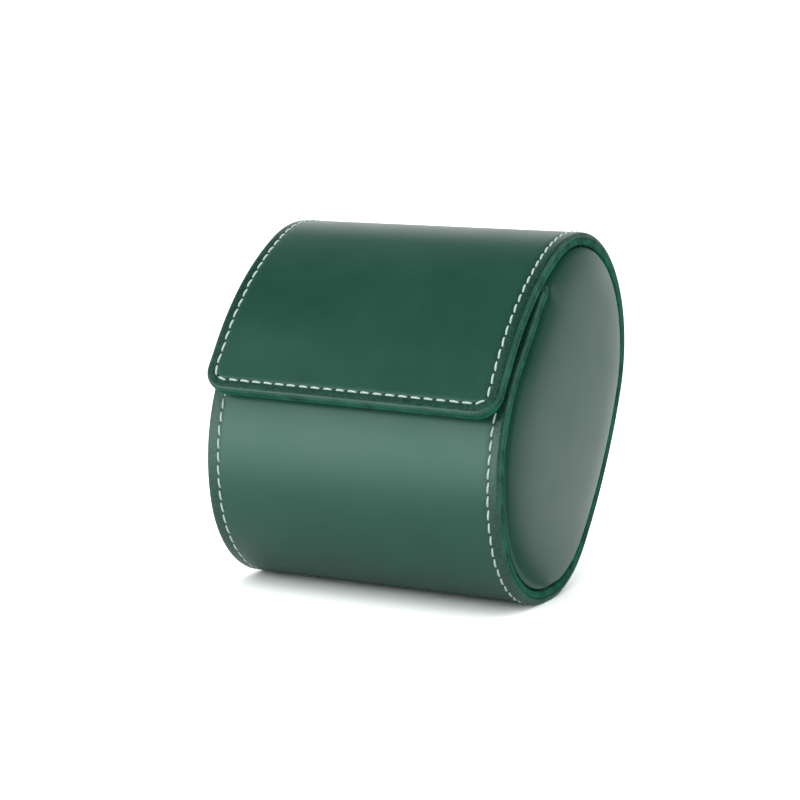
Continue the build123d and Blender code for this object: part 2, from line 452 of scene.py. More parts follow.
def new_material(name, roughness, **sockets):
    """A material with a Principled shader and the piece's Object coordinates."""
    material = bpy.data.materials.new(name)
    material.use_nodes = True
    tree = material.node_tree
    shader = tree.nodes["Principled BSDF"]
    shader.inputs["Roughness"].default_value = roughness
    for socket, value in sockets.items():
        shader.inputs[socket.replace("_", " ")].default_value = value
    places = add_node(tree, "ShaderNodeTexCoord")
    return material, tree, shader, places


def bump(tree, shader, height, distance, strength=1.0):
    """Let a height in the material catch the light."""
    node = add_node(tree, "ShaderNodeBump", inputs={"Strength": strength, "Distance": distance})
    tree.links.new(height, node.inputs["Height"])
    tree.links.new(node.outputs["Normal"], shader.inputs["Normal"])
    return node


def leather_material(name, colour, light, roughness, holes):
    """Smooth dyed leather; holes adds the needle holes along a sewn edge, with painted shade in them and darker
    speckles round the seam, partly painted shade.
    """
    material, tree, shader, places = new_material(name, roughness, Specular_IOR_Level=0.5,
                                                    Specular_Tint=(0.80, 1.0, 0.95, 1))
    grain = add_node(tree, "ShaderNodeGroup", node_tree=leather_grain)
    tree.links.new(places.outputs["Object"], grain.inputs["Vector"])
    share = range_node(tree, grain.outputs["Mottle"], 0.3, 0.7, 0.0, 1.0)
    out_colour, out_height = mix_colours(tree, share, colour, light), grain.outputs["Height"]
    tree.links.new(range_node(tree, grain.outputs["Mottle"], 0.3, 0.7, roughness - 0.03, roughness + 0.04),
                   shader.inputs["Roughness"])
    if holes:
        seam = add_node(tree, "ShaderNodeSeparateXYZ")
        tree.links.new(places.outputs["UV"], seam.inputs[0])
        phase = math_node(tree, "FRACT", seam.outputs["X"])
        along = math_node(tree, "ABSOLUTE", math_node(tree, "SUBTRACT", phase, 0.5))
        along = math_node(tree, "MULTIPLY", along, stitch_pitch)
        across = math_node(tree, "SUBTRACT", seam.outputs["Y"], stitch_inset)
        apart = math_node(tree, "SQRT", math_node(tree, "ADD", math_node(tree, "POWER", along, 2.0),
                                                  math_node(tree, "POWER", across, 2.0)))
        hole = range_node(tree, apart, 0.16 * mm, 0.42 * mm, 1.0, 0.0, smooth=True)
        beside = range_node(tree, seam.outputs["Y"], 0.8 * mm, 5.5 * mm, 1.0, 0.0, smooth=True)
        # Darker speckles round the seam: pits in the bump, and partly painted shade around the stitches
        seam_pits_and_shade = range_node(tree, noise_node(tree, places.outputs["Object"], 1700.0, 2.0, 0.6), 0.42, 0.60, 1.0, 0.0)
        seam_pits_and_shade = math_node(tree, "MULTIPLY", seam_pits_and_shade, beside)
        out_colour = mix_colours(tree, math_node(tree, "MULTIPLY", seam_pits_and_shade, 0.75), out_colour, painted_hole_shade)
        out_height = math_node(tree, "MULTIPLY_ADD", seam_pits_and_shade, -1.6, out_height)
        # The needle holes: painted near-black as their shade, and dipped in the bump
        out_colour = mix_colours(tree, hole, out_colour, painted_hole_shade)
        out_height = math_node(tree, "MULTIPLY_ADD", hole, -8.0, out_height)
    tree.links.new(out_colour, shader.inputs["Base Color"])
    bump(tree, shader, out_height, 0.03 * mm, 0.5)
    return material


strip_leather = leather_material("strip_leather", leather_green, leather_light, 0.37, True)
cap_leather = leather_material("cap_leather", leather_green, leather_light, 0.35, False)
print("materials", strip_leather.name, cap_leather.name)

# %% Cut edge, suede and thread materials
def suede_material(name, light, dark, roughness, sheen):
    """Napped suede, or the fibrous cut edge of leather."""
    material, tree, shader, places = new_material(
        name, roughness, Specular_IOR_Level=0.12, Sheen_Weight=sheen, Sheen_Roughness=0.45)
    nap = add_node(tree, "ShaderNodeGroup", node_tree=suede_nap, inputs={"Light": light, "Dark": dark})
    tree.links.new(places.outputs["Object"], nap.inputs["Vector"])
    tree.links.new(nap.outputs["Color"], shader.inputs["Base Color"])
    bump(tree, shader, nap.outputs["Height"], 0.12 * mm, 0.8)
    return material


cut_edge = suede_material("cut_edge", (0.052, 0.165, 0.115, 1), (0.022, 0.088, 0.060, 1), 0.55, 0.04)
suede = suede_material("suede", (0.016, 0.195, 0.110, 1), (0.003, 0.058, 0.034, 1), 0.95, 0.06)

thread, thread_tree, thread_shader, thread_places = new_material(
    "thread", 0.55, Specular_IOR_Level=0.4, Sheen_Weight=0.3, Sheen_Roughness=0.4)
plies = add_node(thread_tree, "ShaderNodeTexWave", bands_direction="DIAGONAL",
                 inputs={"Scale": 2.2, "Distortion": 0.6, "Detail": 2.0})
thread_tree.links.new(thread_places.outputs["UV"], plies.inputs["Vector"])
# The twist's grooves are painted darker than the ply crowns, as shade; the bump follows the same pattern
thread_tone_and_groove_shade = mix_colours(thread_tree, plies.outputs["Fac"], (0.52, 0.70, 0.60, 1), (0.74, 0.90, 0.82, 1))
thread_tree.links.new(thread_tone_and_groove_shade, thread_shader.inputs["Base Color"])
bump(thread_tree, thread_shader, plies.outputs["Fac"], 0.08 * mm, 0.6)
print("materials", cut_edge.name, suede.name, thread.name)

# %% [markdown]
# ## The strip, cut flat
# One flat blank gives both layers of the strip. It is a rectangle with two rounded corners at the flap's
# end. Rings set in from its edge hold the rounding of the rim and mark the sewn channel. Then the
# blank gets its thickness, its rims are rounded, and it is cut across every millimetre so it can bend.
# %% Flat blank
fold_reach = 4.3 * mm


def flat_blank(rings):
    """A flat blank with two rounded corners and rings at distances in from its edge."""
    bm = bmesh.new()
    bmesh.ops.create_grid(bm, x_segments=1, y_segments=1, size=0.5)
    bmesh.ops.transform(bm, verts=bm.verts, matrix=Matrix.Diagonal((roll_width, strip_length, 1, 1)))
    bmesh.ops.translate(bm, verts=bm.verts, vec=(0, strip_length / 2, 0))
    corners = [v for v in bm.verts if v.co.y > strip_length / 2]
    bmesh.ops.bevel(bm, geom=corners, offset=flap_corner, segments=14, profile=0.5,
                    affect="VERTICES", material=-1, clamp_overlap=True)
    set_rings(bm, rings)
    return bm


def thicken(bm, top, bottom):
    """Extrude a flat blank between two heights. Its first faces become the top ones."""
    faces = bm.faces[:]
    if faces[0].normal.z < 0:
        bmesh.ops.reverse_faces(bm, faces=faces)
    bmesh.ops.translate(bm, verts=bm.verts, vec=(0, 0, bottom))
    grown = bmesh.ops.extrude_face_region(bm, geom=faces, use_keep_orig=True)
    bmesh.ops.translate(bm, verts=points_of(grown), vec=(0, 0, top - bottom))
    bmesh.ops.recalc_face_normals(bm, faces=bm.faces)


def rim_edges(bm, height):
    """The edges where the flat sides of a thickened blank meet its top or bottom."""
    return [e for e in bm.edges if len(e.link_faces) == 2 and all(abs(v.co.z - height) < 1e-7 for v in e.verts)
            and abs(e.link_faces[0].normal.dot(e.link_faces[1].normal)) < 0.5]


def cut_to_bend(bm, spacing=1.1 * mm, fold_spacing=0.45 * mm):
    """Cut across a flat piece so that it bends smoothly, most closely at the fold."""
    at = spacing
    while at < strip_length - 1e-6:
        cut_across(bm, (0, at, 0), (0, 1, 0))
        at += fold_spacing if abs(at - fold_length) < fold_reach else spacing


print("blank", roll_width / mm, "by", round(strip_length / mm, 1), "mm")

# %% [markdown]
# ### The leather layer
# The needle pulls the leather down a little along the seam, so the ring at the seam is pressed in. Every
# face on the cut sides gets the fibrous cut-edge material. The strip is then parted under the base,
# where nobody sees it: the front half stays with the case, and the back half with the flap stays where it was
# rolled.
# %% Leather strip
seam_rings = [1.0 * mm, 1.4 * mm, 2.05 * mm, 2.5 * mm, 2.8 * mm, 3.1 * mm, 3.55 * mm, 4.6 * mm]
channel_depth = 0.16 * mm
rim_round = 0.85 * mm


def press_seam(bm, face_height, depth):
    """Press the sewn channel into one face of a flat piece."""
    for v in bm.verts:
        if abs(v.co.z - face_height) < 1e-7:
            apart = abs(edge_distance(v.co.x, v.co.y)[0] - stitch_inset) / (0.75 * mm)
            if apart < 1:
                v.co.z -= depth * (0.5 + 0.5 * math.cos(math.pi * apart))


def map_seam(bm):
    """UV map: a whole number at each stitch's middle along the seam, and metres in from the edge."""
    layer = bm.loops.layers.uv.new("seam")
    for face in bm.faces:
        counts = front_counts if face.calc_center_median().y < base_middle else flap_counts
        for loop in face.loops:
            inward, along = edge_distance(loop.vert.co.x, loop.vert.co.y)
            loop[layer].uv = (between(along, counts), inward)


leather_sheet = flat_blank(seam_rings)
thicken(leather_sheet, 0.0, -leather_thickness)
press_seam(leather_sheet, 0.0, channel_depth)
for face in leather_sheet.faces:
    face.material_index = 1 if abs(face.normal.z) < 0.5 else 0
rounded(leather_sheet, rim_edges(leather_sheet, 0.0), rim_round, 5)
rounded(leather_sheet, rim_edges(leather_sheet, -leather_thickness), 0.22 * mm, 2)
cut_to_bend(leather_sheet)
map_seam(leather_sheet)
print("flat leather faces", len(leather_sheet.faces))

# %% Part the strip under the base and roll it up
def part_under_base(bm, keep_back):
    """Keep one half of a flat piece, cut and closed under the middle of the base."""
    half = bm.copy()
    cut_across(half, (0, base_middle, 0), (0, -1 if keep_back else 1, 0), clear=True)
    closing = bmesh.ops.holes_fill(half, edges=open_edges(half))["faces"]
    for edge in (e for face in closing for e in face.edges):
        edge.smooth = False
    roll_up(half)
    bmesh.ops.recalc_face_normals(half, faces=half.faces)
    return half


def dress_strip(sheet, names, materials, front_nodes, back_nodes):
    """Part a flat layer, roll up its halves, and hand the front half to the case."""
    front = finish_piece(part_under_base(sheet, False), names[0], materials)
    over = finish_piece(part_under_base(sheet, True), names[1], materials)
    sheet.free()
    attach(front, "case")
    for piece, nodes in ((front, front_nodes), (over, back_nodes)):
        if nodes:
            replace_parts(piece, *nodes)
    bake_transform(over)
    return front, over


dress_strip(leather_sheet, ("leather_front", "leather_back_and_flap"), [strip_leather, cut_edge],
            ["wrap_leather"], ["wrap_leather", "flap_leather"])

# %% [markdown]
# ### The suede lining
# The lining is the strip's inner layer, so it is cut from the same blank. Where the stiff boards lie it is
# thinner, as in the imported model: the middle of its outer face is let in for them, on both sides of the
# fold. Its cut edge shows at both ends of the roll as a bright, rough band under the leather.
# %% Lining strip
board_ring = 5.9 * mm
board_thickness = 0.8 * mm
lining_top = -1.43 * mm
lining_rings = [0.5 * mm, 1.2 * mm, 2.05 * mm, 2.8 * mm, 3.55 * mm, board_ring]

lining_sheet = flat_blank(lining_rings)
thicken(lining_sheet, lining_top, -wall_thickness)
rounded(lining_sheet, rim_edges(lining_sheet, lining_top), 0.3 * mm, 3)
rounded(lining_sheet, rim_edges(lining_sheet, -wall_thickness), 0.45 * mm, 3)
press_seam(lining_sheet, -wall_thickness, -0.12 * mm)
for at in (fold_length - 3.9 * mm, fold_length + 4.2 * mm):
    cut_across(lining_sheet, (0, at, 0), (0, 1, 0))
for _ in range(2):
    over_board = max((f for f in lining_sheet.faces if abs(f.calc_center_median().z - lining_top) < 1e-7),
                     key=lambda face: face.calc_area())
    bmesh.ops.inset_region(lining_sheet, faces=[over_board], thickness=0.05 * mm, depth=-board_thickness,
                           use_even_offset=True, use_boundary=True)
cut_to_bend(lining_sheet)
dress_strip(lining_sheet, ("lining_front", "lining_back_and_flap"), [suede],
            ["wrap_lining"], ["wrap_lining", "flap_lining"])

# %% [markdown]
# ### The suede's loose fibres
# A knife leaves suede with a furry edge, and that soft green fringe is what the eye reads as suede at the
# roll's ends. A tuft of thin, pointed fibres is made once, then laid along the lining's edge again and
# again, flipped end for end at random so that no pattern shows.
# %% Fibres on the cut suede
tuft_length = 3.0 * mm
tuft_fibres = 36
fibre_root, fibre_tip = 0.035 * mm, 0.004 * mm
tuft = bmesh.new()
for _ in range(tuft_fibres):
    length = chance.uniform(0.20, 0.55) * mm
    lean = Matrix.Rotation(chance.uniform(-0.7, 0.7), 4, "Z")
    lean = lean @ Matrix.Rotation(chance.uniform(-0.25, 0.5), 4, "Y")
    root = Vector((-0.12 * mm, chance.uniform(0, 1) * tuft_length,
                   -wall_thickness + chance.uniform(0.08, 0.75) * (wall_thickness + lining_top)))
    along_x = Matrix.Rotation(math.radians(90), 4, "Y") @ Matrix.Translation((0, 0, length / 2))
    bmesh.ops.create_cone(tuft, cap_ends=True, cap_tris=True, segments=3, radius1=fibre_root,
                          radius2=fibre_tip, depth=length, matrix=Matrix.Translation(root) @ lean @ along_x)
tuft_mesh = bpy.data.meshes.new("tuft")
tuft.to_mesh(tuft_mesh)
print("tuft faces", len(tuft.faces))
tuft.free()


def lay_fibres(name, first, last):
    """Tufts along the lining's edge between two lengths along the seam, rolled up with the strip."""
    bm = bmesh.new()
    along = first + tuft_length / 2
    while along < last:
        place, direction = on_seam(along)
        outward = Vector((direction.y, -direction.x))
        if place.x * direction.y < 0:
            outward.negate()
        if abs(direction.x) > 0.9:
            outward = Vector((0, 1))
        old = len(bm.verts)
        bm.from_mesh(tuft_mesh)
        bm.verts.ensure_lookup_table()
        frame_turn = Matrix.Rotation(math.atan2(outward.y, outward.x), 4, "Z")
        flip = Matrix.Diagonal((1, chance.choice((-1, 1)), 1, 1))
        middle = Matrix.Translation((0, -tuft_length / 2, 0))
        edge = place + outward * (stitch_inset - 0.08 * mm)
        move = Matrix.Translation((edge.x, edge.y, 0)) @ frame_turn @ flip @ middle
        bmesh.ops.transform(bm, verts=bm.verts[old:], matrix=move)
        along += tuft_length * 0.93
    roll_up(bm)
    bmesh.ops.recalc_face_normals(bm, faces=bm.faces)
    piece = finish_piece(bm, name, [suede])
    return piece


for name, first, last in (("fibres_front_right", 0.0, base_middle),
                          ("fibres_front_left", under_base, seam_end + mouth_row_start)):
    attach(lay_fibres(name, first, last), "case")
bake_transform(lay_fibres("fibres_back_and_flap", base_middle, under_base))

# %% [markdown]
# ### The stitches
# Each stitch is a short thread that comes out of one hole and dives into the next, a little aslant, as a
# sewing machine leaves it. One stitch is shaped from a sphere, copied along the seam while everything is
# still flat, and rolled up with the same bend as the leather, so it hugs the surface. The same row
# shows on the suede wherever the seam isn't hidden against an end cap.
# %% Stitch rows
stitch_width, stitch_height = 0.28 * mm, 0.27 * mm
side_length, end_length = 1.42 * mm, 1.30 * mm
stitch_dip = 0.34 * mm
front_slant, flap_slant, end_slant = math.radians(5.5), math.radians(-5.5), math.radians(2.0)


def add_stitch(bm, along, height, up, side_slant):
    """Lay one stitch on the seam, its middle at a height above the leather's face."""
    made = bmesh.ops.create_uvsphere(bm, u_segments=8, v_segments=8, radius=1.0,
                                     matrix=Matrix.Rotation(math.radians(90), 4, "X"), calc_uvs=True)
    place, direction = on_seam(along)
    on_side = abs(direction.y) > 0.9
    slant = math.copysign(1, place.x) * side_slant if on_side else end_slant
    half_length = (side_length if on_side else end_length) * chance.uniform(0.95, 1.04)
    heading = math.atan2(direction.y, direction.x) - math.pi / 2 + slant + chance.uniform(-0.03, 0.03)
    for v in made["verts"]:
        length = math.sin(v.co.y * math.pi / 2)
        v.co = Vector((v.co.x * stitch_width, length * half_length, v.co.z * stitch_height))
        v.co.z -= stitch_dip * length**4
        v.co.z *= up
    bmesh.ops.rotate(bm, verts=made["verts"], matrix=Matrix.Rotation(heading, 3, "Z"))
    aside = chance.uniform(-0.05, 0.05) * mm
    bmesh.ops.translate(bm, verts=made["verts"], vec=(place.x + aside, place.y, height))


def stitch_row(name, first, last, counts, height, up, side_slant):
    """A row of stitches between two lengths along the seam, rolled up with the strip."""
    bm = bmesh.new()
    bm.loops.layers.uv.new("thread")
    for number in range(math.ceil(between(first, counts)), math.floor(between(last, counts)) + 1):
        add_stitch(bm, between(number, counts, 1, 0), height, up, side_slant)
    roll_up(bm)
    bmesh.ops.recalc_face_normals(bm, faces=bm.faces)
    return finish_piece(bm, name, [thread])


outside = -0.02 * mm
inside = -wall_thickness + 0.03 * mm
front_rows = [
    stitch_row("thread_front_right", mouth_row_start, base_middle, front_counts, outside, 1, front_slant),
    stitch_row("thread_front_left", under_base, seam_end, front_counts, outside, 1, front_slant),
]
for row in front_rows:
    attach(row, "case")
flap_rows = [
    stitch_row("thread_back_and_flap", base_middle, under_base, flap_counts, outside, 1, flap_slant),
    stitch_row("thread_under_flap", fold_length, 2 * row_to_middle - fold_length, flap_counts, inside, -1,
               flap_slant),
]
for row in flap_rows:
    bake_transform(row)

# %% [markdown]
# ## The end caps
# Each cap is leather drawn over thin padding on a board, so its face is crowned: it rises quickly inside a
# tight round rim and is nearly flat in the middle. The outline is spun out of a single point, arc by arc,
# from the strip's own table. Rings set in from the rim then give the crown its smooth fall.
# %% Cap outline
cap_gap = 0.35 * mm
cap_depth = wall_thickness + cap_gap
cap_step_bend = 7.06
cap_corner = 1.3 * mm


def trace_outline(bm, line, place, heading):
    """Spin a point along a line of runs and bends in the plane across the roll."""
    geom = [bm.verts.new((0, place.x, place.y))]
    for part in lay_line(line, place, heading)[0]:
        _, start, heading, radius, length = part
        if radius is None:
            step = Vector((0, math.cos(heading), math.sin(heading))) * length
            made = bmesh.ops.spin(bm, geom=geom, cent=(0, 0, 0), axis=(1, 0, 0), dvec=step, angle=0, steps=1)
        else:
            centre = (0, start.x - math.sin(heading) * radius, start.y + math.cos(heading) * radius)
            steps = max(2, round(math.degrees(length / radius) / 2.5))
            made = bmesh.ops.spin(bm, geom=geom, cent=centre, axis=(1, 0, 0), angle=length / radius, steps=steps)
        geom = [g for g in made["geom_last"] if isinstance(g, bmesh.types.BMVert)]
    return geom[0]


def cap_face(depth):
    """A flat face with the cap's outline at a depth inside the leather's face, at X = 0."""
    line = [(kind, size - (depth if bend else 0), *bend) for kind, size, *bend in strip_line[:8]]
    line.append(("bend", 71.4 * mm - depth, cap_step_bend))
    start, heading = on_strip(0.0)
    start = start - Vector((math.sin(heading), -math.cos(heading))) * depth
    bm = bmesh.new()
    last = trace_outline(bm, line, start, heading)
    bm.verts.ensure_lookup_table()
    first = bm.verts[0]
    bm.edges.new((last, first))
    bmesh.ops.contextual_create(bm, geom=bm.edges[:])
    bmesh.ops.bevel(bm, geom=[first, last], offset=cap_corner, segments=4, profile=0.5,
                    affect="VERTICES", material=-1, clamp_overlap=True)
    bmesh.ops.remove_doubles(bm, verts=bm.verts, dist=0.05 * mm)
    for v in bm.verts:
        nearest = min(wall_samples, key=lambda sample: (sample[1] - v.co.yz).length)
        v.co.yz += Vector((math.sin(nearest[2]), -math.cos(nearest[2]))) * stand_off(nearest[0])
    return bm


wall_samples = [(along, *on_strip(along)) for along in (strip_length * i / 900 for i in range(901))]
cap_blank = cap_face(cap_depth)
print("cap outline", len(cap_blank.verts), "points, faces", len(cap_blank.faces))

# %% Crowned cap
cap_back = 34.9 * mm
cap_rim = 40.1 * mm
rim_radius = 0.95 * mm
swell_height, swell_length = 1.8 * mm, 6.5 * mm
dome_height, dome_reach = 0.35 * mm, 41.0 * mm
cap_centre = Vector((0.0, 44.9 * mm))
crown_shares = [0.985, 0.965, 0.94, 0.91, 0.875, 0.835, 0.79, 0.74, 0.68]


def rim_tree(bm):
    """A search tree of the points on a flat outline."""
    tree = kdtree.KDTree(len(bm.edges) * 4)
    for edge in bm.edges:
        a, b = edge.verts
        for i in range(4):
            tree.insert(a.co.lerp(b.co, i / 4), 0)
    tree.balance()
    return tree


def draw_rings(bm, centre, shares):
    """Draw rings of the largest face towards a centre, each at a share of the way out to the rim."""
    drawn = 1.0
    for share in shares:
        middle = widest_face(bm)
        bmesh.ops.inset_region(bm, faces=[middle], thickness=0.0, use_boundary=True)
        bmesh.ops.scale(bm, verts=middle.verts, vec=(1, share / drawn, share / drawn),
                        space=Matrix.Translation(-centre))
        drawn = share


def cut_grid(bm, spacing):
    """Cut the largest face into a grid, so that it can curve."""
    middle = widest_face(bm)
    low = Vector(map(min, zip(*(v.co for v in middle.verts))))
    high = Vector(map(max, zip(*(v.co for v in middle.verts))))
    patch = [middle]
    for axis, normal in ((1, (0, 1, 0)), (2, (0, 0, 1))):
        at = low[axis] + spacing
        while at < high[axis] - spacing / 2:
            geom = [g for f in patch for g in (*f.verts, *f.edges)] + patch
            point = (0, at, 0) if axis == 1 else (0, 0, at)
            made = bmesh.ops.bisect_plane(bm, geom=list(dict.fromkeys(geom)), dist=1e-7, plane_co=point,
                                          plane_no=normal)
            patch = list(dict.fromkeys([f for f in made["geom"] if isinstance(f, bmesh.types.BMFace)]))
            at += spacing
    return patch


def make_cap(name, side):
    """A crowned leather cap on the right (side 1) or left (side -1) end."""
    bm = cap_blank.copy()
    tree = rim_tree(bm)
    set_rings(bm, [0.02 * mm])
    for i in range(1, 6):
        angle = math.radians(18 * i)
        before = math.radians(18 * (i - 1))
        middle = set_rings(bm, [rim_radius * (math.cos(before) - math.cos(angle))])
        bmesh.ops.translate(bm, verts=middle.verts, vec=(rim_radius * (math.sin(angle) - math.sin(before)), 0, 0))
    draw_rings(bm, Vector((0, *cap_centre)), crown_shares)
    cut_grid(bm, 4 * mm)
    for v in bm.verts:
        inward = max(0.0, tree.find((0, v.co.y, v.co.z))[2] - rim_radius * 0.5)
        out = (Vector((v.co.y, v.co.z)) - cap_centre).length / dome_reach
        if v.co.x > 0:
            v.co.x += swell_height * (1 - math.exp(-inward / swell_length)) + dome_height * max(0, 1 - out**2)
    bmesh.ops.translate(bm, verts=bm.verts, vec=(cap_rim - rim_radius, 0, 0))
    grown = bmesh.ops.extrude_edge_only(bm, edges=open_edges(bm))
    bmesh.ops.translate(bm, verts=points_of(grown), vec=(cap_back - (cap_rim - rim_radius), 0, 0))
    bmesh.ops.holes_fill(bm, edges=open_edges(bm))
    to_end(bm, side)
    cap = finish_piece(bm, name, [cap_leather])
    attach(cap, "case")
    return cap


for hand, side in (("right", 1), ("left", -1)):
    cap = make_cap(f"{hand}_cap", side)
    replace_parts(cap, f"{hand}_cap_leather", f"{hand}_cap_padding")

# %% Cap linings
lining_inner = 34.1 * mm


def make_cap_lining(name, side):
    """The suede disc that lines a cap on the inside."""
    bm = cap_blank.copy()
    set_rings(bm, [0.5 * mm])
    draw_rings(bm, Vector((0, *cap_centre)), [0.95, 0.85])
    bmesh.ops.translate(bm, verts=bm.verts, vec=(cap_back, 0, 0))
    grown = bmesh.ops.extrude_face_region(bm, geom=bm.faces[:], use_keep_orig=True)
    bmesh.ops.translate(bm, verts=points_of(grown), vec=(lining_inner - cap_back, 0, 0))
    bmesh.ops.recalc_face_normals(bm, faces=bm.faces)
    rim = [e for e in bm.edges if all(abs(v.co.x - lining_inner) < 1e-7 for v in e.verts)
           and abs(e.link_faces[0].normal.dot(e.link_faces[1].normal)) < 0.5]
    rounded(bm, rim, 0.35 * mm, 3)
    to_end(bm, side)
    piece = finish_piece(bm, name, [suede])
    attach(piece, "case")
    return piece


for hand, side in (("right", 1), ("left", -1)):
    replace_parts(make_cap_lining(f"{hand}_cap_suede", side), f"{hand}_cap_lining")
cap_blank.free()

# %% [markdown]
# ## The pillow
# The watch is strapped round a loose pillow: a suede tube over foam with a flat disc sewn into each end.
# It is spun out of one point like the caps, drawn out along X ring by ring, and pinched in at each ring
# near its ends, where the seam gathers the suede.
# %% Pillow
pillow_radius = 22.64 * mm
pillow_straight = 16.0 * mm
pillow_lean = math.radians(20.0)
cover_half = 31.1 * mm
cover_rings = 36
pillow_draw = 1.5 * mm
end_thickness = 1.6 * mm
pillow_low, pillow_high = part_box("pillow_cover")


def pillow_outline(shrink):
    """The pillow's oval outline as one face, at X = 0, turned to lean back."""
    radius = pillow_radius - shrink
    line = [("run", pillow_straight), ("bend", radius, 180.0), ("run", pillow_straight), ("bend", radius, 180.0)]
    heading = math.radians(90) - pillow_lean
    foot = Vector(((pillow_low.y + pillow_high.y) / 2, (pillow_low.z + pillow_high.z) / 2))
    foot -= Vector((math.cos(heading), math.sin(heading))) * pillow_straight / 2
    start = foot + Vector((math.sin(heading), -math.cos(heading))) * radius
    bm = bmesh.new()
    trace_outline(bm, line, start, heading)
    bmesh.ops.remove_doubles(bm, verts=bm.verts, dist=0.05 * mm)
    bmesh.ops.contextual_create(bm, geom=bm.edges[:])
    return bm


def make_pillow_cover():
    """The suede tube, closed at both ends, with gathers near the end seams."""
    bm = pillow_outline(0.0)
    bmesh.ops.subdivide_edges(bm, edges=[e for e in bm.edges if e.calc_length() > 4 * mm], cuts=7)
    bmesh.ops.translate(bm, verts=bm.verts, vec=(-cover_half, 0, 0))
    loop = bm.edges[:]
    for _ in range(cover_rings):
        grown = bmesh.ops.extrude_edge_only(bm, edges=loop)
        loop = [g for g in grown["geom"] if isinstance(g, bmesh.types.BMEdge)]
        bmesh.ops.translate(bm, verts=points_of(grown), vec=(2 * cover_half / cover_rings, 0, 0))
    bmesh.ops.holes_fill(bm, edges=open_edges(bm))
    middle = Vector((0, (pillow_low.y + pillow_high.y) / 2, (pillow_low.z + pillow_high.z) / 2))
    for v in bm.verts:
        share = abs(v.co.x) / cover_half
        away = Vector((0, v.co.y - middle.y, v.co.z - middle.z)).normalized()
        around = math.atan2(away.z, away.y)
        end = math.exp(-(1 - share) * cover_half / (3.5 * mm))
        gather = noise.noise(Vector((math.cos(around) * 5, math.sin(around) * 5, v.co.x * 30)))
        soft = noise.noise(Vector((v.co.x * 40, v.co.y * 40, v.co.z * 40)))
        v.co -= away * (pillow_draw * share**2 + 0.9 * mm * end + 0.5 * mm * end * (gather + 0.3)
                        + 0.25 * mm * (soft + 0.4))
    bmesh.ops.recalc_face_normals(bm, faces=bm.faces)
    cover = finish_piece(bm, "pillow_tube", [suede])
    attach(cover, "pillow")
    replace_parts(cover, "pillow_cover", "pillow_core")
    return cover


def make_pillow_end(name, side):
    """A padded disc sewn into one end of the pillow."""
    bm = pillow_outline(pillow_draw)
    tree = rim_tree(bm)
    set_rings(bm, [ring * mm for ring in (0.25, 0.6, 1.1, 1.8, 2.8, 4.2, 6.0, 9.0)])
    cut_grid(bm, 4 * mm)
    for v in bm.verts:
        inward = tree.find((0, v.co.y, v.co.z))[2]
        v.co.x = end_thickness * (1 - math.exp(-inward / (1.3 * mm))) * (1 - 0.25 * math.exp(-inward / (7 * mm)))
    grown = bmesh.ops.extrude_edge_only(bm, edges=open_edges(bm))
    bmesh.ops.translate(bm, verts=points_of(grown), vec=(-0.4 * mm, 0, 0))
    bmesh.ops.holes_fill(bm, edges=open_edges(bm))
    bmesh.ops.translate(bm, verts=bm.verts, vec=(cover_half, 0, 0))
    to_end(bm, side)
    disc = finish_piece(bm, name, [suede])
    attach(disc, "pillow")
    return disc


make_pillow_cover()
for hand, side in (("right", 1), ("left", -1)):
    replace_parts(make_pillow_end(f"pillow_{hand}_disc", side), f"pillow_{hand}_end")

# %% [markdown]
# ## Pieces that stay hidden
# The boards, the magnet and its steel disc stay as they were packed. They are closed inside the walls, but
# they still get a finish of their own, because a viewer may take the roll apart.
# %% Boards, magnet and steel
greyboard, board_tree, board_shader, board_places = new_material("greyboard", 0.85, Specular_IOR_Level=0.2)
pulp = noise_node(board_tree, board_places.outputs["Object"], 900.0, 5.0, 0.7)
board_tree.links.new(mix_colours(board_tree, pulp, (0.17, 0.15, 0.12, 1), (0.33, 0.30, 0.25, 1)),
                     board_shader.inputs["Base Color"])
bump(board_tree, board_shader, pulp, 0.05 * mm, 0.6)

plated, plated_tree, plated_shader, plated_places = new_material("plated_steel", 0.32, Metallic=1.0)
brushing = add_node(plated_tree, "ShaderNodeMapping", inputs={"Scale": (200.0, 6000.0, 200.0)})
plated_tree.links.new(plated_places.outputs["Object"], brushing.inputs["Vector"])
scratches = noise_node(plated_tree, brushing.outputs["Vector"], 1.0, 3.0, 0.6)
plated_tree.links.new(mix_colours(plated_tree, scratches, (0.45, 0.45, 0.46, 1), (0.62, 0.62, 0.63, 1)),
                      plated_shader.inputs["Base Color"])
bump(plated_tree, plated_shader, scratches, 0.01 * mm, 0.4)

hidden_finish = {"wrap_board": greyboard, "flap_board": greyboard, "right_cap_board": greyboard,
                 "left_cap_board": greyboard, "wrap_steel_disc": plated, "flap_magnet": plated}
for node, material in hidden_finish.items():
    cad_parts[node].data.materials.clear()
    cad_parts[node].data.materials.append(material)
print("hidden pieces", len(hidden_finish))

# %% [markdown]
# ## Floor, world and lamps
# The photograph was taken in a white sweep. The camera sees plain white all round, and the floor keeps
# only the shadow right under the roll. The leather mirrors a dim room with a dark ceiling, a bright
# patch low in front and little light on the right, which puts its soft sheens in the right places.
# The floor's part of what the leather mirrors is painted: a painted pool of light far out in front and painted
# shade to the right. Light Path tells what the camera sees from what the leather mirrors.
# %% White floor
floor_material = bpy.data.materials.new("floor_white")
floor_material.use_nodes = True
floor_tree = floor_material.node_tree
floor_tree.nodes.clear()
floor_path = add_node(floor_tree, "ShaderNodeLightPath")
floor_seen = math_node(floor_tree, "MAXIMUM", floor_path.outputs["Is Camera Ray"],
                       math_node(floor_tree, "MAXIMUM", floor_path.outputs["Is Glossy Ray"],
                                 floor_path.outputs["Is Transmission Ray"]))
floor_shader = add_node(floor_tree, "ShaderNodeBsdfDiffuse")
